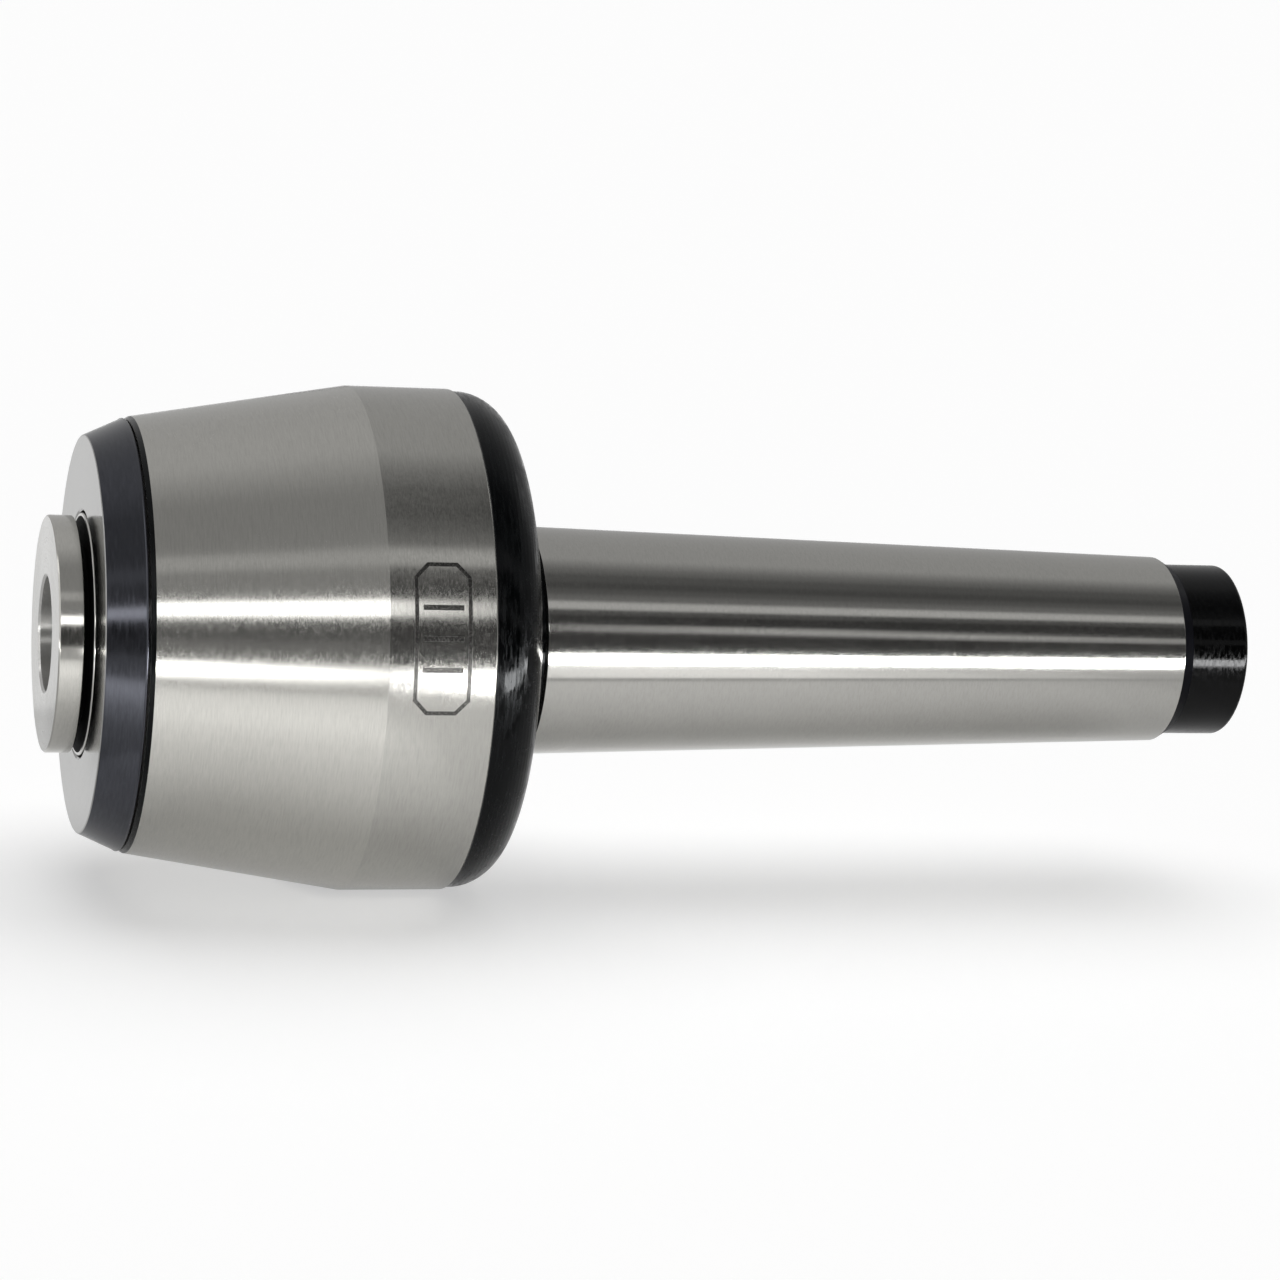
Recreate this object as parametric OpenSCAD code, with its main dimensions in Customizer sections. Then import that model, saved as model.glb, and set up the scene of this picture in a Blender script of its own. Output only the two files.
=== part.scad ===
// Live center: a Morse taper shank whose head carries a freely turning spindle.
// The axis lies along X, the nose points to -X and the tail to +X.
// The origin is on the axis, at the gauge plane of the shank's taper.

/* [Shank] */
// Diameter at the gauge plane, Morse taper number 4
gauge_d = 31.267; // [31.2:0.001:31.3]
// Length over which the taper's diameter shrinks by one millimetre
taper_ratio = 19.254; // [19:0.001:20.1]
// Start of the ground taper, just ahead of the gauge plane
taper_start = -1.15; // [-2:0.05:-0.6]
// End of the ground taper
taper_end = 92.25; // [90:0.05:93]
// Whole length of the shank from the gauge plane
shank_len = 102.5; // [100:0.1:104]
// Diameter of the plain tail
tail_d = 24.4; // [23:0.1:25.4]

/* [Head] */
// Front edge of the ground cone, where the head is narrowest
head_front_x = -55.6; // [-55.8:0.1:-55.2]
// Diameter at that front edge
head_front_d = 58.3; // [58.2:0.1:61]
// Largest diameter of the head
head_d = 68.3; // [66:0.1:72]
// End of the cone and start of the cylinder
head_edge_x = -26.65; // [-32:0.05:-20]
// End of the ground cylinder
head_rear_x = -12.6; // [-13.5:0.1:-12.2]
// Back face of the head
head_back_x = -5.3; // [-5.4:0.1:-4.8]
// Radius that rounds the head's back edge
back_round = 6.2; // [5:0.1:6.4]

/* [Front cap] */
// Plane of the cap's nose face
nose_x = -61.65; // [-61.8:0.05:-61.3]
// Diameter of the nose face, with its rounded rim
nose_d = 53; // [50:0.1:54]
// Largest diameter of the cap, at the back of its cone
cap_d = 57.8; // [56:0.1:58]
// Width of the open gap between the cap and the head
cap_gap = 0.3; // [0.2:0.05:0.35]

/* [Spindle] */
// Plane of the spindle's front face
face_x = -66.2; // [-67:0.1:-65.9]
// Diameter of the nose disk
disk_d = 31.6; // [30:0.1:32.4]
// Thickness of the nose disk
disk_t = 3.35; // [2.6:0.05:3.4]
// Diameter of the collar behind the disk's extraction groove
collar_d = 32.3; // [32:0.1:33.2]
// Gap all round between that collar and the cap
collar_gap = 0.3; // [0.2:0.05:0.4]
// Diameter of the bore that takes an interchangeable point
point_bore_d = 15.4; // [12:0.1:17]
// Depth of that bore's cylinder
point_bore_len = 36; // [24:0.5:37]

/* [Bearings] */
// Diameter of the spindle's seat in the two front bearings
seat_d = 25; // [24:0.5:25]
// Outer diameter of the front bearings
front_outer_d = 47; // [46:0.5:47]
// Width of one front bearing
front_w = 12; // [11:0.1:12]
// Balls in each front bearing
front_balls = 12; // [8:1:12]
// Balls in the thrust bearing
thrust_count = 12; // [8:1:13]
// Needle rollers in the rear bearing
needle_count = 18; // [10:1:20]

/* [Hidden] */

$fn = 96;
play = 0.03;     // radial running clearance of every rolling or sliding pair
edge = 0.25;     // small broken edge on turned parts
over = 1;        // how far a cutting solid runs past the face that it cuts

// Head and cap joint
rim_x = head_front_x - 0.6;            // front end of the head, ahead of its chamfer
rim_r = head_front_d / 2 - 0.4;
cap_back_x = rim_x - cap_gap;          // back of the cap's flange
cap_edge_x = cap_back_x - 0.3;         // back of the cap's cone, ahead of its narrow land
pilot_r = 26.3;                        // counterbore that centres the cap
pilot_x = rim_x + 1.7;
cap_thread_r = 25;                     // plain stand-in for an M50 x 1 thread
ring_1_x = -50.5;                      // front of bearing 1, and end of the cap's screwed part
ring_2_x = ring_1_x + front_w;
shoulder_x = ring_2_x + front_w;       // head's shoulder behind bearing 2

// Lock nut and washer
washer_t = 1;
nut_x = shoulder_x + washer_t;
nut_w = 5;
nut_r = 18;
slot_w = 4;
slot_depth = 1.8;
key_depth = 1.2;                       // spindle keyway for the washer's inner tab
nut_room_r = 20.5;

// Thrust bearing, 35 mm across
thrust_x = nut_x + nut_w + 0.25;
thrust_washer_t = 2.75;
thrust_gap = 4;
thrust_seat_r = 10;
thrust_outer_r = 17.5;
thrust_ball_r = 2.7;
thrust_pitch_r = 13.75;
thrust_mid_x = thrust_x + thrust_washer_t + thrust_gap / 2;
thrust_back_x = thrust_x + 2 * thrust_washer_t + thrust_gap;
spring_h = 1.3;
floor_x = thrust_back_x + spring_h;    // bottom of the head's cavity

// Needle bearing, drawn cup 16 x 22 x 16
journal_r = 8;
needle_r = 0.98;
needle_pitch_r = journal_r + play + needle_r;
shell_in_r = needle_pitch_r + needle_r + play;
shell_r = 11;
shell_x = floor_x + 2.4;
shell_len = 16;
shell_wall = 0.8;
needle_len = 12;
needle_bore_end = shell_x + shell_len + 2;

// Front ball bearings
ball_r = 3.15;
pitch_r = (seat_d + front_outer_d) / 4;
race_r = ball_r + play;
inner_shoulder_r = pitch_r - 2.5;
outer_shoulder_r = pitch_r + 2.5;
relief_r = pitch_r + 3.05;             // the low shoulder of an angular contact outer ring
corner = 0.6;

// Shaft seal, in the cap
collar_r = collar_d / 2;
lip_r = collar_r + play;
cap_mouth_r = collar_r + collar_gap;
seal_x = nose_x + 1.5;
seal_w = 5.2;
seal_r = 21;
seal_wall = 0.8;

function taper_r(x) = gauge_d / 2 - x / (2 * taper_ratio);

// Points of an arc about (x, r), as pairs of axial place and radius.
function arc(x, r, radius, from, to, steps = 10) =
  [for (i = [0:steps])
    let (a = from + (to - from) * i / steps)
    [x + radius * cos(a), r + radius * sin(a)]];

// A solid of revolution about X from a list of pairs of axial place and radius.
module lathe(outline) {
  rotate([0, 90, 0])
    rotate_extrude()
      polygon([for (p = outline) [p[1], p[0]]]);
}

// A plain ring from x0 to x1 with broken outer and inner edges.
module ring(x0, x1, r_in, r_out, c = edge) {
  lathe([
    [x0, r_in + c], [x0, r_out - c], [x0 + c, r_out], [x1 - c, r_out],
    [x1, r_out - c], [x1, r_in + c], [x1 - c, r_in], [x0 + c, r_in]
  ]);
}

// A ring of round section about X.
module torus(x, r, section_r) {
  rotate([0, 90, 0])
    translate([0, 0, x])
      rotate_extrude()
        translate([r, 0])
          circle(r = section_r, $fn = 48);
}

// Copies its children evenly round the X axis.
module around(count, start = 0) {
  for (i = [0:count - 1])
    rotate([start + i * 360 / count, 0, 0])
      children();
}

module body_shank() {
  neck_r = taper_r(0) - 0.5;
  neck_round = 0.8;
  head_r = head_d / 2;
  black_x = head_back_x - back_round;
  black_r = head_r - 0.3;
  tail_r = tail_d / 2;
  tail_x = taper_end + 1.7;
  tail_round = 0.6;
  color("silver")
    difference() {
      lathe(concat(
        [
          [rim_x, 0], [rim_x, rim_r], [head_front_x, head_front_d / 2],
          [head_edge_x, head_r], [head_rear_x, head_r], [black_x, black_r]
        ],
        arc(black_x, black_r - back_round, back_round, 90, 0),
        arc(head_back_x + neck_round, neck_r + neck_round, neck_round, 180, 270, 4),
        [
          [taper_start - 0.3, neck_r], [taper_start, taper_r(taper_start)],
          [taper_end, taper_r(taper_end)], [tail_x, tail_r]
        ],
        arc(shank_len - tail_round, tail_r - tail_round, tail_round, 90, 0, 6),
        [[shank_len, 0]]
      ));
      head_cavity();
      centre_hole();
    }
}

// Stepped cavity that holds the bearings, closed by a drill point in the shank.
module head_cavity() {
  drill_point = shell_r / tan(59);
  lathe([
    [rim_x - over, 0], [rim_x - over, pilot_r], [pilot_x, pilot_r],
    [pilot_x, cap_thread_r], [ring_1_x, cap_thread_r], [ring_1_x, front_outer_d / 2],
    [shoulder_x, front_outer_d / 2], [shoulder_x, nut_room_r],
    [thrust_x, nut_room_r], [thrust_x, thrust_outer_r], [floor_x, thrust_outer_r],
    [floor_x, shell_r], [needle_bore_end, shell_r], [needle_bore_end + drill_point, 0]
  ]);
}

// Centre hole in the tail, left from turning and grinding between centres.
module centre_hole() {
  mouth_r = 4.2;
  pilot = 2;
  cone_len = (mouth_r - pilot) / tan(30);
  lathe([
    [shank_len + over, 0], [shank_len + over, mouth_r], [shank_len, mouth_r],
    [shank_len - cone_len, pilot], [shank_len - cone_len - 3.5, pilot],
    [shank_len - cone_len - 4.7, 0]
  ]);
}

module front_cap() {
  rim_round = 0.7;
  cap_r = cap_d / 2;
  nose_r = nose_d / 2;
  groove_r = pilot_r - 1.5;
  slack = 0.05;
  color("#2b303b")
    lathe(concat(
      [[nose_x, cap_mouth_r + edge], [nose_x, nose_r - rim_round]],
      arc(nose_x + rim_round, nose_r - rim_round, rim_round, 180, 116, 4),
      [
        [cap_edge_x, cap_r - 0.15], [cap_edge_x + 0.15, cap_r],
        [cap_back_x - 0.15, cap_r], [cap_back_x, cap_r - 0.15], [cap_back_x, pilot_r - slack],
        [rim_x, pilot_r - slack], [rim_x, groove_r],
        [pilot_x - 0.2, groove_r], [pilot_x - 0.2, cap_thread_r - slack],
        [ring_1_x, cap_thread_r - slack], [ring_1_x, seal_r],
        [seal_x, seal_r], [seal_x, cap_mouth_r], [nose_x + edge, cap_mouth_r]
      ]
    ));
}

module cap_o_ring() {
  section_r = 0.72;
  color("#111111")
    torus((rim_x + pilot_x - 0.2) / 2, pilot_r - section_r - 0.02, section_r);
}

// The cup of the seal, open to the bearing side.
module seal_case() {
  flange_r = collar_r + 2.2;
  color("dimgray")
    lathe([
      [seal_x, flange_r], [seal_x, seal_r], [seal_x + seal_w, seal_r],
      [seal_x + seal_w, seal_r - seal_wall], [seal_x + seal_wall, seal_r - seal_wall],
      [seal_x + seal_wall, flange_r]
    ]);
}

// Rubber under the case's flange: a sealing lip that leans on the collar under the spring.
module seal_lip() {
  root_x = seal_x + seal_wall;
  spring_x = seal_x + 3.4;
  color("#161616")
    lathe([
      [seal_x, lip_r + 0.12], [seal_x, collar_r + 2.2], [root_x, collar_r + 2.2],
      [root_x, collar_r + 3.6], [root_x + 0.9, collar_r + 3.6], [root_x + 0.9, collar_r + 1.6],
      [spring_x - 0.5, collar_r + 1.3], [spring_x - 0.5, collar_r + 0.75],
      [spring_x + 0.5, collar_r + 0.75], [spring_x + 0.5, collar_r + 1.3],
      [spring_x + 1.1, collar_r + 1.2], [spring_x + 0.3, lip_r], [spring_x - 0.9, lip_r + 0.5],
      [seal_x + 0.7, lip_r + 0.6]
    ]);
}

module seal_garter_spring() {
  wire_coil_r = 0.48;
  color("#8a8f96")
    torus(seal_x + 3.4, collar_r + 0.77 + wire_coil_r, wire_coil_r);
}

// Angular contact outer ring, low shoulder towards low_side (-1 front, 1 back).
module outer_ring(x, low_side) {
  r = front_outer_d / 2;
  front_r = low_side < 0 ? relief_r : outer_shoulder_r;
  back_r = low_side > 0 ? relief_r : outer_shoulder_r;
  mid = x + front_w / 2;
  color("#9aa3ad")
    difference() {
      lathe([
        [x, front_r], [x, r - corner], [x + corner, r], [x + front_w - corner, r],
        [x + front_w, r - corner], [x + front_w, back_r], [mid, back_r], [mid, front_r]
      ]);
      torus(mid, pitch_r, race_r);
    }
}

module inner_ring(x) {
  color("#9aa3ad")
    difference() {
      ring(x, x + front_w, seat_d / 2, inner_shoulder_r, corner);
      torus(x + front_w / 2, pitch_r, race_r);
    }
}

module bearing_1_outer_ring() {
  outer_ring(ring_1_x, -1);
}

module bearing_2_outer_ring() {
  outer_ring(ring_2_x, 1);
}

module bearing_1_inner_ring() {
  inner_ring(ring_1_x);
}

module bearing_2_inner_ring() {
  inner_ring(ring_2_x);
}

module ball_cage(x) {
  cage_w = 9;
  half_t = 1.3;
  pocket_r = ball_r + 0.12;
  mid = x + front_w / 2;
  color("goldenrod")
    difference() {
      ring(mid - cage_w / 2, mid + cage_w / 2, pitch_r - half_t, pitch_r + half_t);
      around(front_balls)
        translate([mid, 0, pitch_r - half_t - over])
          cylinder(r = pocket_r, h = 2 * (half_t + over), $fn = 48);
    }
}

module balls(x) {
  color("#d5dae0")
    around(front_balls)
      translate([x + front_w / 2, 0, pitch_r])
        sphere(r = ball_r, $fn = 48);
}

module bearing_1_cage() {
  ball_cage(ring_1_x);
}

module bearing_1_balls() {
  balls(ring_1_x);
}

module bearing_2_cage() {
  ball_cage(ring_2_x);
}

module bearing_2_balls() {
  balls(ring_2_x);
}

module spindle() {
  face_end_x = face_x + disk_t;
  collar_x = nose_x - 0.1;
  disk_r = disk_d / 2;
  groove_r = 12;
  shoulder_r = inner_shoulder_r - 0.3;
  seat_r = seat_d / 2;
  seal_end_x = seal_x + seal_w + 1;
  rear_x = floor_x + 0.3;
  rear_end_x = shell_x + shell_len - 0.5;
  color("#c9ccd0")
    difference() {
      lathe([
        [face_x, 0], [face_x, disk_r - edge], [face_x + edge, disk_r],
        [face_end_x - edge, disk_r], [face_end_x, disk_r - edge], [face_end_x, groove_r],
        [collar_x, groove_r], [collar_x, collar_r - edge], [collar_x + edge, collar_r],
        [seal_end_x, collar_r], [seal_end_x + 0.5, shoulder_r], [ring_1_x, shoulder_r],
        [ring_1_x, seat_r], [thrust_x - edge, seat_r], [thrust_x, seat_r - edge],
        [thrust_x, thrust_seat_r], [rear_x - edge, thrust_seat_r], [rear_x, thrust_seat_r - edge],
        [rear_x, journal_r], [rear_end_x - 1, journal_r], [rear_end_x, journal_r - 1],
        [rear_end_x, 0]
      ]);
      point_socket();
      translate([shoulder_x - 1.5, -slot_w / 2, seat_r - key_depth])
        cube([thrust_x - shoulder_x + 1.5, slot_w, key_depth + over]);
    }
}

// Blind bore for the shank of an interchangeable point, with a chamfered mouth.
module point_socket() {
  r = point_bore_d / 2;
  mouth = 0.3;
  end_x = face_x + mouth + point_bore_len;
  lathe([
    [face_x - over, 0], [face_x - over, r + mouth], [face_x, r + mouth],
    [face_x + mouth, r], [end_x, r], [end_x + r / tan(59), 0]
  ]);
}

module lock_washer() {
  plate_r = 16.2;
  tooth_w = 2.6;
  tooth_r = nut_r - 0.3;
  teeth = 11;
  tab_w = slot_w - 0.6;
  seat_r = seat_d / 2;
  bent_len = 2.5;
  root = 1;
  color("#7d858e") {
    lathe([
      [shoulder_x, seat_r], [shoulder_x, plate_r], [nut_x, plate_r], [nut_x, seat_r]
    ]);
    around(teeth)
      translate([shoulder_x, -tooth_w / 2, plate_r - root])
        cube([washer_t, tooth_w, tooth_r - plate_r + root]);
    // The tooth that is bent into a slot of the nut.
    translate([shoulder_x, -tooth_w / 2, tooth_r - washer_t])
      cube([washer_t + bent_len, tooth_w, washer_t]);
    translate([shoulder_x, -tab_w / 2, seat_r - key_depth + 0.1])
      cube([washer_t, tab_w, key_depth + root]);
  }
}

module lock_nut() {
  slots = 4;
  color("#6b7178")
    difference() {
      ring(nut_x, nut_x + nut_w, seat_d / 2, nut_r, 0.5);
      around(slots)
        translate([nut_x - over, -slot_w / 2, nut_r - slot_depth])
          cube([nut_w + 2 * over, slot_w, slot_depth + over]);
    }
}

module thrust_groove() {
  torus(thrust_mid_x, thrust_pitch_r, thrust_ball_r + play);
}

module thrust_shaft_washer() {
  color("#9aa3ad")
    difference() {
      ring(thrust_x, thrust_x + thrust_washer_t, thrust_seat_r, thrust_outer_r - 0.3, 0.3);
      thrust_groove();
    }
}

module thrust_housing_washer() {
  color("#9aa3ad")
    difference() {
      ring(thrust_back_x - thrust_washer_t, thrust_back_x, thrust_seat_r + 0.5, thrust_outer_r, 0.3);
      thrust_groove();
    }
}

module thrust_cage() {
  half_t = 1.5;
  pocket_r = thrust_ball_r + 0.12;
  color("goldenrod")
    difference() {
      ring(thrust_mid_x - half_t, thrust_mid_x + half_t, thrust_seat_r + 0.6, thrust_outer_r - 0.6);
      around(thrust_count)
        translate([thrust_mid_x - half_t - over, 0, thrust_pitch_r])
          rotate([0, 90, 0])
            cylinder(r = pocket_r, h = 2 * (half_t + over), $fn = 48);
    }
}

module thrust_balls() {
  color("#d5dae0")
    around(thrust_count)
      translate([thrust_mid_x, 0, thrust_pitch_r])
        sphere(r = thrust_ball_r, $fn = 48);
}

// A shallow cone that presses the thrust washer forward from the cavity's floor.
module disc_spring() {
  t = 0.9;
  color("#5d646d")
    lathe([
      [thrust_back_x, 11.3], [thrust_back_x + t, 11.3],
      [floor_x, 17.2], [floor_x - t, 17.2]
    ]);
}

module needle_shell() {
  lip_in_r = journal_r + 0.4;
  color("#9aa3ad")
    lathe([
      [shell_x, lip_in_r], [shell_x, shell_r - 0.5], [shell_x + 0.5, shell_r],
      [shell_x + shell_len - 0.5, shell_r], [shell_x + shell_len, shell_r - 0.5],
      [shell_x + shell_len, lip_in_r], [shell_x + shell_len - shell_wall, lip_in_r],
      [shell_x + shell_len - shell_wall, shell_in_r], [shell_x + shell_wall, shell_in_r],
      [shell_x + shell_wall, lip_in_r]
    ]);
}

module needle_rollers() {
  x = shell_x + (shell_len - needle_len) / 2;
  color("#d5dae0")
    around(needle_count)
      translate([x, 0, needle_pitch_r])
        rotate([0, 90, 0])
          cylinder(r = needle_r, h = needle_len, $fn = 32);
}

module needle_cage() {
  cage_len = needle_len + 2;
  half_t = 0.6;
  slot = 2 * (needle_r + 0.08);
  x = shell_x + (shell_len - cage_len) / 2;
  color("#b08d3c")
    difference() {
      ring(x, x + cage_len, needle_pitch_r - half_t, needle_pitch_r + half_t, 0.1);
      around(needle_count)
        translate([x + 0.92, -slot / 2, needle_pitch_r - half_t - over])
          cube([needle_len + 0.16, slot, 2 * (half_t + over)]);
    }
}

body_shank();
front_cap();
cap_o_ring();
seal_case();
seal_lip();
seal_garter_spring();
bearing_1_outer_ring();
bearing_2_outer_ring();
thrust_housing_washer();
disc_spring();
needle_shell();
spindle();
bearing_1_inner_ring();
bearing_2_inner_ring();
lock_washer();
lock_nut();
thrust_shaft_washer();
bearing_1_cage();
bearing_1_balls();
bearing_2_cage();
bearing_2_balls();
thrust_cage();
thrust_balls();
needle_cage();
needle_rollers();
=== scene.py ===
import math

import bmesh
import bpy
from mathutils import Matrix, Vector


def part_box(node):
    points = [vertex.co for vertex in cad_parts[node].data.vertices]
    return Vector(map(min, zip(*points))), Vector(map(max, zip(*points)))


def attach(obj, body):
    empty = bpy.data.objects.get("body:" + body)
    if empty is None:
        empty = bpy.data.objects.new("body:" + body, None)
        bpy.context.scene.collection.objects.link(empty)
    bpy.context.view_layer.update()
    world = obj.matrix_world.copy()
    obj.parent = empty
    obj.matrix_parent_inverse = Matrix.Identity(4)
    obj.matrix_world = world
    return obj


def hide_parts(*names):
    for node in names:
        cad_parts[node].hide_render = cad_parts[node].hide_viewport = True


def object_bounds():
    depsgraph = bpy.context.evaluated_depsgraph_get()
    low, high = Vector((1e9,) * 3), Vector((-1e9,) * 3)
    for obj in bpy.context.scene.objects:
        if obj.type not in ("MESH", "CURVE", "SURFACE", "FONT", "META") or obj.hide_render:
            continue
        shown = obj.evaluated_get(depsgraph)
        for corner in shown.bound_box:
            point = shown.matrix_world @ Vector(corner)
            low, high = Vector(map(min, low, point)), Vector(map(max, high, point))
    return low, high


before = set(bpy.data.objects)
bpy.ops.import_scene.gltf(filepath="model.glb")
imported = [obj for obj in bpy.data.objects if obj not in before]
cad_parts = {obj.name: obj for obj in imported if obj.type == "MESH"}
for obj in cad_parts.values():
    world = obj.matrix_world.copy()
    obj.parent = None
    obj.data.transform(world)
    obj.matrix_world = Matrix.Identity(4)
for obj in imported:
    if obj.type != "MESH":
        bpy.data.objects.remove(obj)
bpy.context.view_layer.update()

MM = 0.001      # outlines are written in mm, the scene is in metres


# ---------------------------------------------------------------- node helpers

class Tree:
    """A material's node tree with short calls for the nodes used here."""

    def __init__(self, name):
        self.mat = bpy.data.materials.new(name)
        self.mat.use_nodes = True
        self.nodes = self.mat.node_tree.nodes
        self.links = self.mat.node_tree.links
        self.nodes.clear()
        self.out = self.nodes.new("ShaderNodeOutputMaterial")
        self.shader = self.nodes.new("ShaderNodeBsdfPrincipled")
        self.links.new(self.shader.outputs[0], self.out.inputs[0])
        self.coord = self.nodes.new("ShaderNodeTexCoord").outputs["Object"]
        self.split = self.nodes.new("ShaderNodeSeparateXYZ")
        self.links.new(self.coord, self.split.inputs[0])

    def feed(self, socket, value):
        if isinstance(value, bpy.types.NodeSocket):
            self.links.new(value, socket)
        else:
            socket.default_value = value

    def set(self, **values):
        for key, value in values.items():
            self.feed(self.shader.inputs[key.replace("_", " ")], value)

    def math(self, op, a, b=0.0, clamp=False):
        n = self.nodes.new("ShaderNodeMath")
        n.operation = op
        n.use_clamp = clamp
        self.feed(n.inputs[0], a)
        self.feed(n.inputs[1], b)
        return n.outputs[0]

    def vmath(self, op, a, b=(0, 0, 0)):
        n = self.nodes.new("ShaderNodeVectorMath")
        n.operation = op
        self.feed(n.inputs[0], a)
        self.feed(n.inputs[1], b)
        return n.outputs["Value"] if op in ("LENGTH", "DOT_PRODUCT") else n.outputs["Vector"]

    def combine(self, x, y, z):
        n = self.nodes.new("ShaderNodeCombineXYZ")
        for socket, value in zip(n.inputs, (x, y, z)):
            self.feed(socket, value)
        return n.outputs[0]

    def noise(self, vector, scale=1.0, detail=2.0, rough=0.5, distortion=0.0):
        n = self.nodes.new("ShaderNodeTexNoise")
        self.feed(n.inputs["Vector"], vector)
        n.inputs["Scale"].default_value = scale
        n.inputs["Detail"].default_value = detail
        n.inputs["Roughness"].default_value = rough
        n.inputs["Distortion"].default_value = distortion
        return n.outputs["Fac"]

    def remap(self, value, a, b, c, d):
        n = self.nodes.new("ShaderNodeMapRange")
        self.feed(n.inputs["Value"], value)
        for key, v in (("From Min", a), ("From Max", b), ("To Min", c), ("To Max", d)):
            self.feed(n.inputs[key], v)
        return n.outputs["Result"]

    def ramp(self, value, *stops):
        n = self.nodes.new("ShaderNodeValToRGB")
        self.feed(n.inputs[0], value)
        ramp = n.color_ramp
        while len(ramp.elements) < len(stops):
            ramp.elements.new(1.0)
        for element, (place, colour) in zip(ramp.elements, stops):
            element.position = place
            element.color = (*colour, 1)
        return n.outputs["Color"]

    def mix(self, fac, a, b):
        n = self.nodes.new("ShaderNodeMix")
        n.data_type = "RGBA"
        self.feed(n.inputs[0], fac)
        for socket, value in ((n.inputs[6], a), (n.inputs[7], b)):
            self.feed(socket, (*value, 1) if isinstance(value, tuple) else value)
        return n.outputs[2]

    def bump(self, height, distance, strength=1.0):
        n = self.nodes.new("ShaderNodeBump")
        self.feed(n.inputs["Height"], height)
        n.inputs["Distance"].default_value = distance
        n.inputs["Strength"].default_value = strength
        self.links.new(n.outputs[0], self.shader.inputs["Normal"])

    def radius(self):
        """Distance from the X axis."""
        _, y, z = self.split.outputs
        return self.vmath("LENGTH", self.combine(0.0, y, z))

    def lay(self, along, around):
        """Coordinates that change fast along the outline and slowly round the X axis."""
        x, y, z = self.split.outputs
        spoke = self.vmath("NORMALIZE", self.combine(0.0, y, z))
        turn = self.vmath("MULTIPLY", spoke, (0.0, around, around))
        run = self.math("MULTIPLY", self.math("ADD", x, self.radius()), along)
        return self.vmath("ADD", turn, self.combine(run, 0.0, 0.0))

    def radial_tangent(self):
        """Stretch the highlights across the rings that turning about X leaves."""
        n = self.nodes.new("ShaderNodeTangent")
        n.direction_type = "RADIAL"
        n.axis = "X"
        self.links.new(n.outputs[0], self.shader.inputs["Tangent"])


# ------------------------------------------------------------------- materials

def ground(name, colour, rough, contrast, bump, around=3.0, aniso=0.75, extra=None, edge=1.0):
    """Steel ground or turned about X: fine rings, uneven in tint, gloss and depth."""
    t = Tree(name)
    fine = t.noise(t.lay(4600, around), detail=3, rough=0.62)
    broad = t.noise(t.lay(900, around * 0.6), detail=2)
    hair = t.noise(t.lay(5200, 14.0), detail=4, rough=0.7)
    cloud = t.noise(t.coord, scale=38, detail=3, rough=0.55)
    lines = t.math("ADD", t.math("MULTIPLY", fine, 0.8), t.math("MULTIPLY", broad, 0.2))
    gloss = t.remap(lines, 0.34, 0.68, *rough)
    gloss = t.math("ADD", gloss, t.remap(cloud, 0.3, 0.7, -0.01, 0.012), clamp=True)
    dark = tuple(c * (1 - contrast) for c in colour)
    light = tuple(min(1.0, c * (1 + contrast * 0.6)) for c in colour)
    shade = t.math("ADD", t.math("MULTIPLY", hair, 0.8), t.math("MULTIPLY", cloud, 0.2))
    tint = t.ramp(shade, (0.36, dark), (0.5, colour), (0.64, light))
    if extra:
        tint, gloss = extra(t, tint, gloss)
    t.set(Base_Color=tint, Metallic=1.0, Roughness=gloss, Anisotropic=aniso, Anisotropic_Rotation=0.25,
          Specular_Tint=(edge, edge, edge, 1))
    t.radial_tangent()
    t.bump(lines, bump)
    return t.mat


def etched_plate(t, tint, gloss):
    """A blank etched frame with cut corners and three ruled lines, on the head's cylinder."""
    centre, half_width, half_height, corner = -19.7 * MM, 3.8 * MM, 9.8 * MM, 11.8 * MM
    line_inset, line_half, line_end = 0.3 * MM, 0.22 * MM, 0.3 * MM
    rule_half, rule_end, rule_length, rule_tip = 0.3 * MM, 0.38 * MM, 2.6 * MM, 2.7 * MM
    tilt = math.radians(12)
    x, y, z = t.split.outputs
    across = t.math("ABSOLUTE", t.math("SUBTRACT", x, centre))
    along = t.math("ADD", t.math("MULTIPLY", y, math.sin(tilt)), t.math("MULTIPLY", z, math.cos(tilt)))
    depth = t.math("SUBTRACT", t.math("MULTIPLY", y, math.cos(tilt)), t.math("MULTIPLY", z, math.sin(tilt)))
    front = t.math("LESS_THAN", depth, 0.0)
    up = t.math("ABSOLUTE", along)
    cut = t.math("MULTIPLY", t.math("SUBTRACT", t.math("ADD", across, up), corner), math.sqrt(0.5))
    sides = t.math("MAXIMUM", t.math("SUBTRACT", across, half_width), t.math("SUBTRACT", up, half_height))
    inset = t.math("ABSOLUTE", t.math("ADD", t.math("MAXIMUM", sides, cut), line_inset))
    ink = t.remap(inset, line_half, line_end, 1.0, 0.0)
    for height in (-4 * MM, 0.0, 4 * MM):
        off = t.math("ABSOLUTE", t.math("SUBTRACT", along, height))
        rule = t.math("MULTIPLY", t.remap(off, rule_half, rule_end, 1.0, 0.0),
                      t.remap(across, rule_length, rule_tip, 1.0, 0.0))
        ink = t.math("MAXIMUM", ink, rule)
    grain = t.noise(t.coord, scale=4200, detail=2)
    cover = t.remap(grain, 0.3, 0.55, 0.78, 0.97)
    ink = t.math("MULTIPLY", t.math("MULTIPLY", ink, front), cover, clamp=True)
    tint = t.mix(ink, tint, (0.035, 0.034, 0.033))
    gloss = t.math("ADD", gloss, t.math("MULTIPLY", ink, 0.22), clamp=True)
    return tint, gloss


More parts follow.
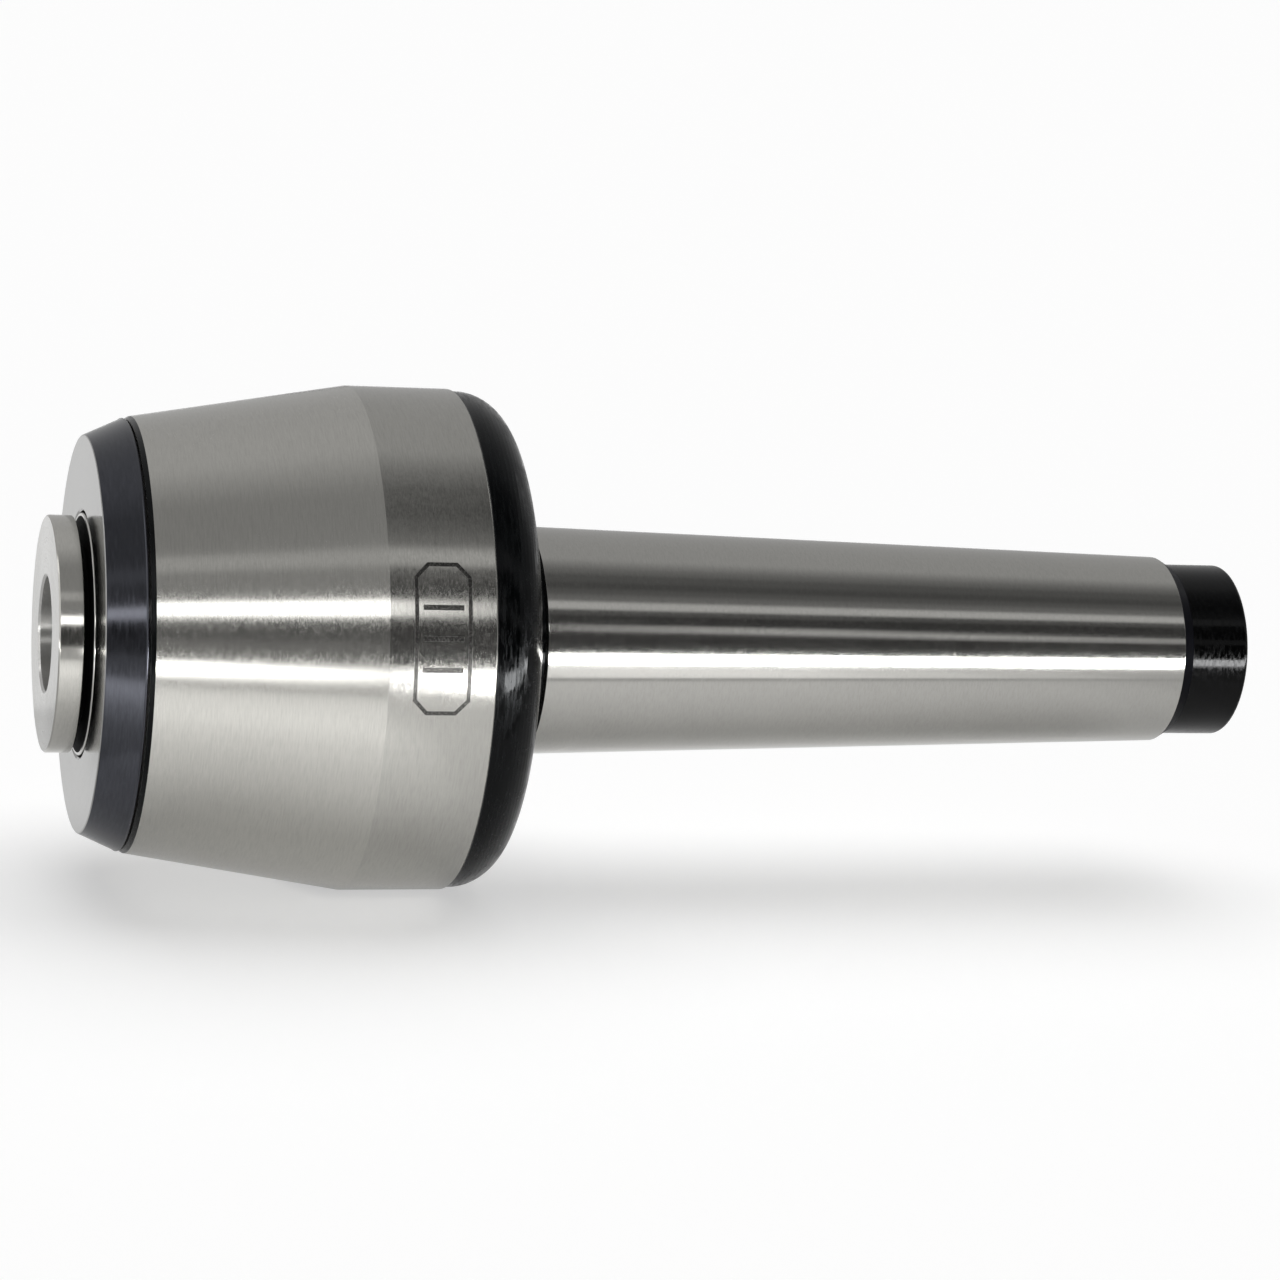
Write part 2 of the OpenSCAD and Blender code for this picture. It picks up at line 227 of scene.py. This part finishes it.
def oxide(name, colour, rough, metallic, bump, mottle=0.25, specular=0.5, spread=1.0, sharp=0.17):
    """Black oxide over turned steel, also used for the painted shade in the spindle's groove: mottled, with
    fine rings that differ in gloss.
    """
    t = Tree(name)
    fine = t.noise(t.lay(2600, 12.0), detail=4, rough=0.68)
    cloud = t.noise(t.coord, scale=160, detail=4, rough=0.6)
    mixed = t.math("ADD", t.math("MULTIPLY", fine, 1 - mottle), t.math("MULTIPLY", cloud, mottle))
    gloss = t.remap(mixed, 0.5 - sharp, 0.5 + sharp, *rough)
    dark = tuple(c * (1 - 0.28 * spread) for c in colour)
    light = tuple(c * (1 + 0.35 * spread) for c in colour)
    tint = t.ramp(mixed, (0.36, dark), (0.52, colour), (0.7, light))
    t.set(Base_Color=tint, Metallic=metallic, Roughness=gloss, Anisotropic=0.4, Anisotropic_Rotation=0.25,
          Specular_IOR_Level=specular)
    t.radial_tangent()
    t.bump(mixed, bump)
    return t.mat


def plain_metal(name, colour, rough, bump=4e-6, scale=900):
    """A small hidden part: polished or pressed metal with a faint grain."""
    t = Tree(name)
    grain = t.noise(t.coord, scale=scale, detail=4, rough=0.6)
    cloud = t.noise(t.coord, scale=90, detail=2)
    mixed = t.math("ADD", t.math("MULTIPLY", grain, 0.5), t.math("MULTIPLY", cloud, 0.5))
    dark = tuple(c * 0.8 for c in colour)
    light = tuple(min(1.0, c * 1.12) for c in colour)
    t.set(Base_Color=t.ramp(mixed, (0.35, dark), (0.65, light)), Metallic=1.0,
          Roughness=t.remap(grain, 0.3, 0.7, *rough))
    t.bump(grain, bump)
    return t.mat


def rubber(name):
    """Matt black rubber with a fine grain."""
    t = Tree(name)
    grain = t.noise(t.coord, scale=1500, detail=4, rough=0.65)
    cloud = t.noise(t.coord, scale=140, detail=2)
    mixed = t.math("ADD", t.math("MULTIPLY", grain, 0.4), t.math("MULTIPLY", cloud, 0.6))
    t.set(Base_Color=t.ramp(mixed, (0.35, (0.008, 0.008, 0.009)), (0.65, (0.022, 0.022, 0.023))),
          Roughness=t.remap(grain, 0.3, 0.7, 0.5, 0.68))
    t.bump(grain, 1e-5)
    return t.mat


# ------------------------------------------------------------------- geometry

SEGMENTS = 288                  # faces round a turned piece
LONG_FACE, HOLD = 0.6, 0.04     # mm: which faces get holding rings, and how close to their ends
ON_AXIS = 1e-6                  # mm
SHARP = math.radians(24)        # a bend above this is a sharp edge


def fillet(a, p, b, radius, steps):
    """Points that round the corner p between a and b in the (x, r) plane."""
    p = Vector(p)
    u, v = (Vector(a) - p).normalized(), (Vector(b) - p).normalized()
    half = math.acos(max(-1.0, min(1.0, u.dot(v)))) / 2
    reach = radius / math.tan(half)
    centre = p + (u + v).normalized() * (radius / math.sin(half))
    start, end = p + u * reach - centre, p + v * reach - centre
    turn = start.angle_signed(end)
    return [centre + Matrix.Rotation(-turn * i / steps, 2) @ start for i in range(steps + 1)]


def outline(corners, closed=False):
    """Points and materials from corners (x, r, rounding, material of the stretch that follows)."""
    points, mats = [], []
    n = len(corners)
    for i, (x, r, rounding, mat) in enumerate(corners):
        before, after = corners[i - 1], corners[(i + 1) % n]
        if rounding and (closed or 0 < i < n - 1):
            steps = max(4, min(12, round(rounding * 5)))
            curve = fillet(before[:2], (x, r), after[:2], rounding, steps)
            for k, q in enumerate(curve):
                points.append(q)
                mats.append(mat if k > len(curve) // 2 else before[3])
            mats[-1] = mat
        else:
            points.append(Vector((x, r)))
            mats.append(mat)
    return points, mats


def with_holding_rings(points, mats, closed):
    """Add a ring close to both ends of each long face, so that its shading stays even."""
    full, full_mats = [], []
    for i, (p, mat) in enumerate(zip(points, mats)):
        full.append(p)
        full_mats.append(mat)
        if i == len(points) - 1 and not closed:
            break
        q = points[(i + 1) % len(points)]
        length = (q - p).length
        if length > LONG_FACE:
            for s in (HOLD, length - HOLD):
                full.append(p.lerp(q, s / length))
                full_mats.append(mat)
    return full, full_mats


def ring(bm, point):
    """Vertices round the X axis at an outline point, or one vertex on the axis."""
    if point.y < ON_AXIS:
        return [bm.verts.new((point.x * MM, 0, 0))]
    angles = (2 * math.pi * j / SEGMENTS for j in range(SEGMENTS))
    return [bm.verts.new((point.x * MM, point.y * MM * math.cos(a), point.y * MM * math.sin(a)))
            for a in angles]


def strip(bm, a, b, mat):
    """Faces between two rings."""
    for j in range(SEGMENTS):
        k = (j + 1) % SEGMENTS
        if len(a) == 1:
            corners = (a[0], b[j], b[k])
        elif len(b) == 1:
            corners = (a[j], b[0], a[k])
        else:
            corners = (a[j], b[j], b[k], a[k])
        face = bm.faces.new(corners)
        face.smooth = True
        face.material_index = mat


def lathe(name, corners, materials, closed=False):
    """A turned piece about X from an outline in mm, with sharp edges where it bends sharply."""
    points, mats = with_holding_rings(*outline(corners, closed), closed)
    count = len(points)
    bm = bmesh.new()
    rings = [ring(bm, p) for p in points]
    for i in range(count if closed else count - 1):
        strip(bm, rings[i], rings[(i + 1) % count], mats[i])
    for i, loop in enumerate(rings):
        if len(loop) == 1 or (not closed and i in (0, count - 1)):
            continue
        before, after = points[i] - points[i - 1], points[(i + 1) % count] - points[i]
        if before.angle(after, 0) > SHARP:
            for j in range(SEGMENTS):
                bm.edges.get((loop[j], loop[(j + 1) % SEGMENTS])).smooth = False
    bmesh.ops.recalc_face_normals(bm, faces=bm.faces)
    mesh = bpy.data.meshes.new(name)
    bm.to_mesh(mesh)
    bm.free()
    for material in materials:
        mesh.materials.append(material)
    obj = bpy.data.objects.new(name, mesh)
    bpy.context.scene.collection.objects.link(obj)
    return obj


def arc(x, r, radius, degrees, mat):
    """Corners on a quarter round about (x, r), from its top towards +X."""
    return [(x + radius * math.sin(a), r + radius * math.cos(a), 0, mat)
            for a in (math.radians(d) for d in degrees)]


def span(node):
    """Front end, rear end and outer radius of a CAD node, in mm."""
    lo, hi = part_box(node)
    return lo.x / MM, hi.x / MM, hi.z / MM


# ----------------------------------------------------------- looks of the turned parts

head_cone = ground("head_cone_ground", (0.56, 0.551, 0.517), (0.13, 0.27), 0.075, 1.4e-6, around=60)
head_cylinder = ground("head_cylinder_ground", (0.515, 0.507, 0.476), (0.12, 0.25), 0.08, 1.2e-6,
                       around=60, extra=etched_plate)
shank_ground = ground("shank_fine_ground", (0.53, 0.522, 0.495), (0.09, 0.19), 0.06, 3e-7, around=30)
spindle_ground = ground("spindle_ground", (0.585, 0.575, 0.54), (0.1, 0.17), 0.07, 6e-7,
                        around=12, aniso=0.2)
spindle_bore = ground("spindle_bore_ground", (0.52, 0.515, 0.495), (0.36, 0.46), 0.08, 8e-7,
                      around=6, aniso=0.95)
end_face = ground("spindle_face_turned", (0.68, 0.676, 0.655), (0.16, 0.3), 0.1, 1e-6, around=2, aniso=0.5)
nose_face = ground("cap_face_polished", (0.48, 0.479, 0.468), (0.08, 0.16), 0.08, 6e-7,
                   around=2, aniso=0.5, edge=0.9)
bored = ground("bored_steel", (0.4, 0.4, 0.39), (0.2, 0.36), 0.15, 3e-6, around=2, edge=0.6)
black_cap = oxide("cap_blue_black", (0.077, 0.0795, 0.092), (0.11, 0.22), 1.0, 1e-6, mottle=0.2, spread=0.5)
black_head = oxide("head_black_oxide", (0.0042, 0.005, 0.0056), (0.05, 0.32), 0.4, 1.6e-5,
                   mottle=0.2, specular=0.2, sharp=0.07)
black_tail = oxide("tail_black_oxide", (0.004, 0.0042, 0.0046), (0.06, 0.24), 0.4, 4e-6,
                   mottle=0.1, specular=0.28, sharp=0.07)
tail_step = oxide("tail_step_oxide", (0.006, 0.0062, 0.009), (0.3, 0.45), 0.3, 2e-6,
                  mottle=0.3, specular=0.02)
# painted shade: a near-black matt material on the groove behind the spindle's disk, standing in for the
# shade deep in the groove
groove_shade = oxide("groove_painted_shade", (0.006, 0.006, 0.006), (0.6, 0.8), 0.2, 2e-6, mottle=0.4, specular=0.08)

# ------------------------------------------------------------- head and shank, in mm

body_front, body_rear, head_r = span("body_shank")
ring_1, _, ring_r = span("bearing_1_outer_ring")
_, shoulder, _ = span("bearing_2_outer_ring")
thrust_front, _, _ = span("thrust_shaft_washer")
_, _, thrust_r = span("thrust_housing_washer")
_, spring_back, _ = span("disc_spring")
_, shell_rear, shell_r = span("needle_shell")

GAUGE_D, TAPER = 31.267, 19.254     # Morse 4 taper: diameter at x = 0, length in which it loses 1 mm
MOUTH_R, MOUTH_DEPTH, THREAD_R = 26.3, 1.7, 25
RACE_BORE_R, BORE_BOTTOM = 20.5, 2  # bore between the bearings, and depth behind the needle shell
RIM_X, RIM_R, RIM_INNER_R = -55.6, 29.15, 28.75
CONE_END, CYLINDER_END = -26.65, -12.75
STEP_CHAMFER, STEP_LENGTH = 0.17, 0.33
SHOULDER_X, SHOULDER_R, BACK_ROUND = -11.5, 33.85, 6.2
NECK_DEPTH, NECK_FRONT, NECK_REAR = 0.5, -1.45, -1.15
TAPER_END, TAIL_X, TAIL_R, TAIL_ROUND = 92.25, 93.95, 12.2, 0.6
CENTRE_R, PILOT_R, PILOT_LENGTH, PILOT_TIP = 4.2, 2, 3.5, 1.2
DRILL, COUNTERSINK = math.radians(59), math.radians(30)


def taper(x):
    """Radius of the Morse cone."""
    return (GAUGE_D - x / TAPER) / 2


back_x = SHOULDER_X + BACK_ROUND
back_r = SHOULDER_R - BACK_ROUND
neck_r = taper(0) - NECK_DEPTH
pilot_x = body_rear - (CENTRE_R - PILOT_R) / math.tan(COUNTERSINK)

CONE, CYL, SHANK, BLACK, TAIL, BORE, STEP = range(7)    # materials, in the order of the list below
body = lathe("body_turned", [
    (shell_rear + BORE_BOTTOM + shell_r / math.tan(DRILL), 0, 0, BORE),
    (shell_rear + BORE_BOTTOM, shell_r, 0, BORE),
    (spring_back, shell_r, 0, BORE),
    (spring_back, thrust_r, 0, BORE),
    (thrust_front, thrust_r, 0, BORE),
    (thrust_front, RACE_BORE_R, 0, BORE),
    (shoulder, RACE_BORE_R, 0, BORE),
    (shoulder, ring_r, 0, BORE),
    (ring_1, ring_r, 0, BORE),
    (ring_1, THREAD_R, 0, BORE),
    (body_front + MOUTH_DEPTH, THREAD_R, 0, BORE),
    (body_front + MOUTH_DEPTH, MOUTH_R, 0, BORE),
    (body_front, MOUTH_R, 0, BORE),
    (body_front, RIM_INNER_R, 0.12, BLACK),
    (RIM_X, RIM_R, 0.1, CONE),
    (CONE_END, head_r, 0.5, CYL),
    (CYLINDER_END, head_r, 0.04, CYL),
    (CYLINDER_END + STEP_CHAMFER, head_r - STEP_CHAMFER, 0.02, BLACK),
    (CYLINDER_END + STEP_LENGTH, SHOULDER_R, 0.06, BLACK),
    (SHOULDER_X, SHOULDER_R, 0, BLACK),
    *arc(SHOULDER_X, back_r, BACK_ROUND, range(6, 91, 6), BLACK),
    (back_x, neck_r, 0.8, BLACK),
    (NECK_FRONT, neck_r, 0.1, SHANK),
    (NECK_REAR, taper(NECK_REAR), 0.1, SHANK),
    (TAPER_END, taper(TAPER_END), 0.12, STEP),
    (TAIL_X, TAIL_R, 0.3, TAIL),
    *arc(body_rear - TAIL_ROUND, TAIL_R - TAIL_ROUND, TAIL_ROUND, range(0, 91, 15), TAIL),
    (body_rear, CENTRE_R, 0.08, BORE),
    (pilot_x, PILOT_R, 0, BORE),
    (pilot_x - PILOT_LENGTH, PILOT_R, 0, BORE),
    (pilot_x - PILOT_LENGTH - PILOT_TIP, 0, 0, BORE),
], [head_cone, head_cylinder, shank_ground, black_head, black_tail, bored, tail_step])
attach(body, "housing")
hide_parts("body_shank")

# ------------------------------------------------------------------- front cap, in mm

COLLAR_R, COLLAR_GAP = 16.15, 0.3
CAP_FACE_R, CAP_EDGE_X = 26.5, -56.8
CAP_SEAT_R, CAP_THREAD_R, CAP_RELIEF_R, RELIEF_LENGTH = 26.25, 24.95, 24.8, 1.5
MOUTH_CHAMFER, EDGE_CHAMFER, EDGE_DROP, EDGE_LENGTH = 0.25, 0.15, 0.1, 0.3
cap_front, cap_rear, cap_r = span("front_cap")
seal_front, _, seal_r = span("seal_case")
cap_mouth = COLLAR_R + COLLAR_GAP

FACE, CONE_BLACK, BORE_CAP = range(3)
cap = lathe("cap_turned", [
    (cap_front, cap_mouth + MOUTH_CHAMFER, 0.1, FACE),
    (cap_front, CAP_FACE_R, 0.3, CONE_BLACK),
    (CAP_EDGE_X, cap_r - EDGE_CHAMFER, 0.12, CONE_BLACK),
    (CAP_EDGE_X + EDGE_CHAMFER, cap_r, 0.05, CONE_BLACK),
    (CAP_EDGE_X + EDGE_LENGTH, cap_r - EDGE_DROP, 0.05, CONE_BLACK),
    (CAP_EDGE_X + EDGE_LENGTH, CAP_SEAT_R, 0, BORE_CAP),
    (body_front, CAP_SEAT_R, 0, BORE_CAP),
    (body_front, CAP_RELIEF_R, 0, BORE_CAP),
    (body_front + RELIEF_LENGTH, CAP_RELIEF_R, 0, BORE_CAP),
    (body_front + RELIEF_LENGTH, CAP_THREAD_R, 0, BORE_CAP),
    (cap_rear, CAP_THREAD_R, 0, BORE_CAP),
    (cap_rear, seal_r, 0, BORE_CAP),
    (seal_front, seal_r, 0, BORE_CAP),
    (seal_front, cap_mouth, 0, BORE_CAP),
    (cap_front + MOUTH_CHAMFER, cap_mouth, 0, FACE),
], [nose_face, black_cap, bored], closed=True)
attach(cap, "housing")
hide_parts("front_cap")

# --------------------------------------------------------------------- spindle, in mm

DISK_R, DISK_LENGTH, DISK_EDGE = 15.8, 3.35, 0.2
GROOVE_R, GROOVE_FACE_R = 12, 15.75
POINT_BORE_R, POINT_BORE_DEPTH, POINT_BORE_MOUTH = 7.7, 36, 0.3
COLLAR_LENGTH, COLLAR_STEP = 6.2, 0.5
CLAMP_R, BEARING_R, THRUST_SEAT_R, JOURNAL_R = 15.2, 12.5, 10, 8
SEAT_EDGE, JOURNAL_EDGE = 0.25, 1
tip, tail_end, _ = span("spindle")
inner_front, _, _ = span("bearing_1_inner_ring")
disk_rear = tip + DISK_LENGTH
collar_front = cap_front - 0.1
collar_rear = seal_front + COLLAR_LENGTH
bore_end = tip + POINT_BORE_MOUTH + POINT_BORE_DEPTH
seat_end = spring_back + 0.05

GROUND, BORE_SP, GROOVE, END, WALL = range(5)
spindle = lathe("spindle_turned", [
    (bore_end + POINT_BORE_R / math.tan(DRILL), 0, 0, BORE_SP),
    (bore_end, POINT_BORE_R, 0, WALL),
    (tip + POINT_BORE_MOUTH, POINT_BORE_R, 0.04, END),
    (tip, POINT_BORE_R + POINT_BORE_MOUTH, 0.04, END),
    (tip, DISK_R - DISK_EDGE, 0.04, GROUND),
    (tip + DISK_EDGE, DISK_R, 0.04, GROUND),
    (disk_rear - DISK_EDGE, DISK_R, 0.04, GROUND),
    # painted shade: the disk's back wall, the groove's floor and the collar's front face in the groove take
    # the near-black groove material
    (disk_rear, DISK_R - DISK_EDGE, 0.04, GROOVE),
    (disk_rear, GROOVE_R, 0.1, GROOVE),
    (collar_front, GROOVE_R, 0.1, GROOVE),
    (collar_front, GROOVE_FACE_R, 0, END),
    (collar_front, COLLAR_R, 0.2, GROUND),
    (collar_rear, COLLAR_R, 0, GROUND),
    (collar_rear + COLLAR_STEP, CLAMP_R, 0, GROUND),
    (inner_front, CLAMP_R, 0, GROUND),
    (inner_front, BEARING_R, 0, GROUND),
    (thrust_front - SEAT_EDGE, BEARING_R, 0, GROUND),
    (thrust_front, BEARING_R - SEAT_EDGE, 0, GROUND),
    (thrust_front, THRUST_SEAT_R, 0, GROUND),
    (seat_end, THRUST_SEAT_R, 0, GROUND),
    (seat_end + SEAT_EDGE, THRUST_SEAT_R - SEAT_EDGE, 0, GROUND),
    (seat_end + SEAT_EDGE, JOURNAL_R, 0, GROUND),
    (tail_end - JOURNAL_EDGE, JOURNAL_R, 0, GROUND),
    (tail_end, JOURNAL_R - JOURNAL_EDGE, 0, GROUND),
    (tail_end, 0, 0, GROUND),
], [spindle_ground, bored, groove_shade, end_face, spindle_bore])
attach(spindle, "spindle_set")
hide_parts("spindle")

# -------------------------------------------------------- carried-over CAD nodes

race = plain_metal("bearing_steel_ground", (0.55, 0.56, 0.57), (0.16, 0.3))
ball = plain_metal("ball_polished", (0.66, 0.67, 0.68), (0.05, 0.12), 1e-6, 300)
brass = plain_metal("cage_brass_turned", (0.62, 0.42, 0.16), (0.26, 0.42))
pressed = plain_metal("pressed_zinc", (0.45, 0.46, 0.48), (0.32, 0.5), 8e-6, 500)
springy = plain_metal("spring_steel_dark", (0.24, 0.25, 0.27), (0.25, 0.4))
black_rubber = rubber("seal_rubber")
looks = {
    race: ("bearing_1_outer_ring", "bearing_2_outer_ring", "bearing_1_inner_ring", "bearing_2_inner_ring",
           "thrust_housing_washer", "thrust_shaft_washer", "needle_shell"),
    ball: ("bearing_1_balls", "bearing_2_balls", "thrust_balls", "needle_rollers"),
    brass: ("bearing_1_cage", "bearing_2_cage", "thrust_cage", "needle_cage"),
    pressed: ("seal_case", "lock_washer"),
    springy: ("lock_nut", "disc_spring", "seal_garter_spring"),
    black_rubber: ("seal_lip", "cap_o_ring"),
}
for material, nodes in looks.items():
    for node in nodes:
        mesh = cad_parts[node].data
        mesh.materials.clear()
        mesh.materials.append(material)

# ------------------------------------------------------ floor and backdrop, in metres

FLOOR_SIDE = 9.0
floor_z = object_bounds()[0][2]


def camera_ray(nodes):
    """1 for what the camera sees directly, 0 in reflections and for scattered light."""
    return nodes.new("ShaderNodeLightPath").outputs["Is Camera Ray"]


def pale_floor():
    """A matt pale floor that reads nearly white, with a soft shadow on it."""
    t = Tree("pale_floor")
    shine = t.remap(camera_ray(t.nodes), 0, 1, 0.02, 0.522)
    t.set(Base_Color=(0.55, 0.55, 0.55, 1), Roughness=0.9, Specular_IOR_Level=0.0,
          Emission_Color=(1, 1, 1, 1), Emission_Strength=shine)
    return t.mat


floor_mesh = bpy.data.meshes.new("floor")
floor_corners = [(x * FLOOR_SIDE, y * FLOOR_SIDE, 0) for x, y in ((-1, -1), (1, -1), (1, 1), (-1, 1))]
floor_mesh.from_pydata(floor_corners, [], [(0, 1, 2, 3)])
floor_mesh.materials.append(pale_floor())
floor = bpy.data.objects.new("floor", floor_mesh)
floor.location.z = floor_z
bpy.context.scene.collection.objects.link(floor)

world = bpy.data.worlds.new("studio")
world.use_nodes = True
tree = world.node_tree
backdrop = tree.nodes["Background"]
backdrop.inputs["Color"].default_value = (1, 1, 1, 1)
level = tree.nodes.new("ShaderNodeMapRange")
level.inputs["To Min"].default_value = 0.045
level.inputs["To Max"].default_value = 0.975
tree.links.new(camera_ray(tree.nodes), level.inputs["Value"])
tree.links.new(level.outputs[0], backdrop.inputs["Strength"])
bpy.context.scene.world = world

# ------------------------------------------------------------------ lights, in metres
# The panels are seen only in reflections. The sun lights only what scatters light: the floor, the
# rubber and, a little, the black oxide.

FLOOR_LIFT = 0.0005             # between the floor and the first layer of glows, and between layers
FAN_DISTANCE, STRIP_DISTANCE = 1.2, 0.6


def panel(name, angle, distance, height, x0, x1, radiance):
    """A soft light along the axis, that many degrees above the horizontal on the -Y side."""
    turn = math.radians(angle)
    out = Vector((0, -math.cos(turn), math.sin(turn)))
    data = bpy.data.lights.new(name, "AREA")
    data.shape = "RECTANGLE"
    data.size = x1 - x0
    data.size_y = height
    data.energy = radiance * math.pi * data.size * data.size_y
    obj = bpy.data.objects.new(name, data)
    along = Vector((1, 0, 0))
    facing = Matrix((along, out.cross(along), out)).transposed().to_4x4()
    obj.matrix_world = Matrix.Translation(out * distance + along * (x0 + x1) / 2) @ facing
    obj.visible_camera = False
    obj.visible_diffuse = False
    bpy.context.scene.collection.objects.link(obj)
    return obj


def panel_between(name, low, high, distance, x0, x1, radiance):
    """A panel that fills the stretch between two angles."""
    mid = (low + high) / 2
    height = 2 * distance * math.tan(math.radians(high - low) / 2)
    return panel(name, mid, distance, height, x0, x1, radiance)


def standing(name, low, high, y, x0, x1, radiance):
    """A soft light standing upright in front of the object, between two heights."""
    mid = (low + high) / 2
    distance = math.hypot(y, mid)
    return panel(name, math.degrees(math.atan2(mid, -y)), distance, high - low, x0, x1, radiance)


def graded(levels, parts=3):
    """Split runs between levels (place, radiance) into small even steps: start, end, radiance."""
    for (a, r0), (b, r1) in zip(levels, levels[1:]):
        count = parts if r0 != r1 else 1
        for k in range(count):
            yield a + (b - a) * k / count, a + (b - a) * (k + 1) / count, r0 + (r1 - r0) * (k + 0.5) / count


def fan(name, x0, x1, levels):
    """Panels side by side round the object, at the radiance that the levels (angle, radiance) give."""
    for i, (low, high, radiance) in enumerate(graded(levels, 5)):
        panel_between(f"{name}_{i}", low, high, FAN_DISTANCE, x0, x1, radiance)


def glow(name, y0, y1, x0, x1, radiance, layer=1):
    """A faint light lying just over the floor. Glows that overlap lie in different layers."""
    obj = panel(name, 0, 1, y1 - y0, x0, x1, radiance)
    middle = Vector(((x0 + x1) / 2, (y0 + y1) / 2, floor_z + layer * FLOOR_LIFT))
    obj.matrix_world = Matrix.Translation(middle) @ Matrix.Rotation(math.pi, 4, "X")


def glow_along_y(name, x0, x1, levels, layer=1):
    """Glows side by side, at the radiance that the levels (y, radiance) give."""
    for i, (y0, y1, radiance) in enumerate(graded(levels)):
        glow(f"{name}_{i}", y0, y1, x0, x1, radiance, layer)


def glow_along_x(name, y0, y1, levels):
    """Glows side by side, at the radiance that the levels (x, radiance) give."""
    for i, (x0, x1, radiance) in enumerate(graded(levels)):
        glow(f"{name}_{i}", y0, y1, x0, x1, radiance)


def end_wall(name, x, y0, y1, z0, z1, radiance):
    """A soft light square to the axis, beyond one end of the object."""
    obj = panel(name, 0, 1, z1 - z0, y0, y1, radiance)
    upright = Matrix.Rotation(math.pi / 2, 4, "X")
    facing = Matrix.Rotation(math.copysign(math.pi / 2, x), 4, "Z") @ upright
    obj.matrix_world = Matrix.Translation((x, (y0 + y1) / 2, (z0 + z1) / 2)) @ facing


# strips in front, higher than the axis
panel_between("strip_nose", 21.4, 28.4, STRIP_DISTANCE, -1.0, 0.092, 3.4)
panel_between("strip_tail_1", 21.5, 28.5, STRIP_DISTANCE, 0.195, 0.28, 0.4)
panel_between("strip_tail_2", 20, 27, STRIP_DISTANCE, 0.24, 0.34, 0.25)
panel_between("strip_tail_3", 18, 24.5, STRIP_DISTANCE, 0.3, 1.0, 0.36)
panel_between("fill_nose_1", 0, 10, STRIP_DISTANCE, -1.0, -0.07, 0.15)
panel_between("fill_nose_2", 10, 21, STRIP_DISTANCE, -1.0, -0.07, 0.06)

# low upright strips in front
standing("low_nose", -0.033, -0.009, -0.33, -0.24, -0.072, 3.4)
standing("low_bore", -0.031, -0.014, -0.328, -0.2, -0.13, 24)
standing("low_head", -0.033, -0.009, -0.33, 0.033, 0.078, 2.4)
standing("low_shank", -0.0335, -0.006, -0.19, 0.036, 0.6, 24)

# glows on the floor, for the lower halves of the turned parts and for the nose's end faces
glow("low_nose_foot", -0.33, -0.235, -0.24, -0.068, 1.3)
glow("low_shank_foot", -0.19, -0.16, 0.14, 0.5, 5)
glow("glow_nose", -0.16, 0.09, -0.075, 0.012, 0.3, layer=2)
glow("glow_face", 0.1, 0.8, -0.4, -0.07, 0.32)
glow_along_y("glow_cone", -0.5, -0.011, [
    (-0.175, 0.0), (-0.13, 0.3), (-0.085, 0.45), (-0.056, 0.2), (-0.04, 0.1), (-0.03, 0.0)])
glow_along_y("glow_cap", -0.3, -0.085, [
    (-0.16, 0.0), (-0.13, 1.3), (-0.1, 1.3), (-0.075, 0.4), (-0.05, 0.0)], layer=3)
glow_along_x("glow_shank_low", -0.07, 0.08, [(0.012, 0.3), (0.06, 0.26), (0.1, 0.2), (0.14, 0.0)])
glow_along_x("glow_shank", -0.19, -0.08, [(0.02, 0.8), (0.06, 0.8), (0.08, 0.6), (0.14, 0.0)])

# walls beyond the ends
end_wall("end_nose", -1.8, -1.0, 1.0, 0.0, 1.2, 0.8)
end_wall("end_nose_strip", -0.42, -0.1, 0.02, -0.034, -0.02, 4)
end_wall("end_tail", 1.8, -1.2, 1.2, 0.0, 1.2, 0.35)

# the wide soft light over the object, from the front over the top to the back
fan("nose_side", -2.0, 0.16, [
    (31, 0.25), (43, 0.25), (45, 0.45), (51, 0.45), (53, 0.25), (80, 0.25), (104, 0.45),
    (120, 0.45), (136, 0.42), (181, 0.42)])
fan("tail_side", 0.16, 2.0, [
    (38, 0.05), (43, 0.05), (45, 0.56), (51, 0.56), (54, 0.15), (58, 0.15), (62, 0.08), (65, 0.08),
    (68, 0.04), (72, 0.04), (76, 0.07), (82, 0.07), (86, 0.13), (89, 0.14), (104, 0.37), (181, 0.38)])

sun = bpy.data.lights.new("overhead", "SUN")
sun.energy = 2.55
sun.angle = 1.2                 # radians across, for a soft shadow
sun_obj = bpy.data.objects.new("overhead", sun)
sun_obj.rotation_euler = (math.radians(-14), math.radians(8), 0)
sun_obj.visible_glossy = False
bpy.context.scene.collection.objects.link(sun_obj)

# ----------------------------------------------------------------------- camera

ELEVATION = math.radians(12)
DISTANCE = 0.4895               # from the object's axis
ROLL = 0.0717                   # radians
eye = Vector((-0.1234, -DISTANCE * math.cos(ELEVATION), DISTANCE * math.sin(ELEVATION)))
aim = Vector((0.01595, 0, 0))
forward = (aim - eye).normalized()
level_right = forward.cross(Vector((0, 0, 1))).normalized()
level_up = level_right.cross(forward)
right = level_right * math.cos(ROLL) + level_up * math.sin(ROLL)
up = level_up * math.cos(ROLL) - level_right * math.sin(ROLL)
camera = bpy.data.cameras.new("camera")
camera.sensor_width = 36
camera.lens = 103.08
camera.shift_y = 0.00127
camera.clip_start = 0.01
camera.clip_end = 100
camera_obj = bpy.data.objects.new("camera", camera)
camera_obj.matrix_world = Matrix.Translation(eye) @ Matrix((right, up, -forward)).transposed().to_4x4()
bpy.context.scene.collection.objects.link(camera_obj)
bpy.context.scene.camera = camera_obj

bpy.context.scene.view_settings.view_transform = "Standard"
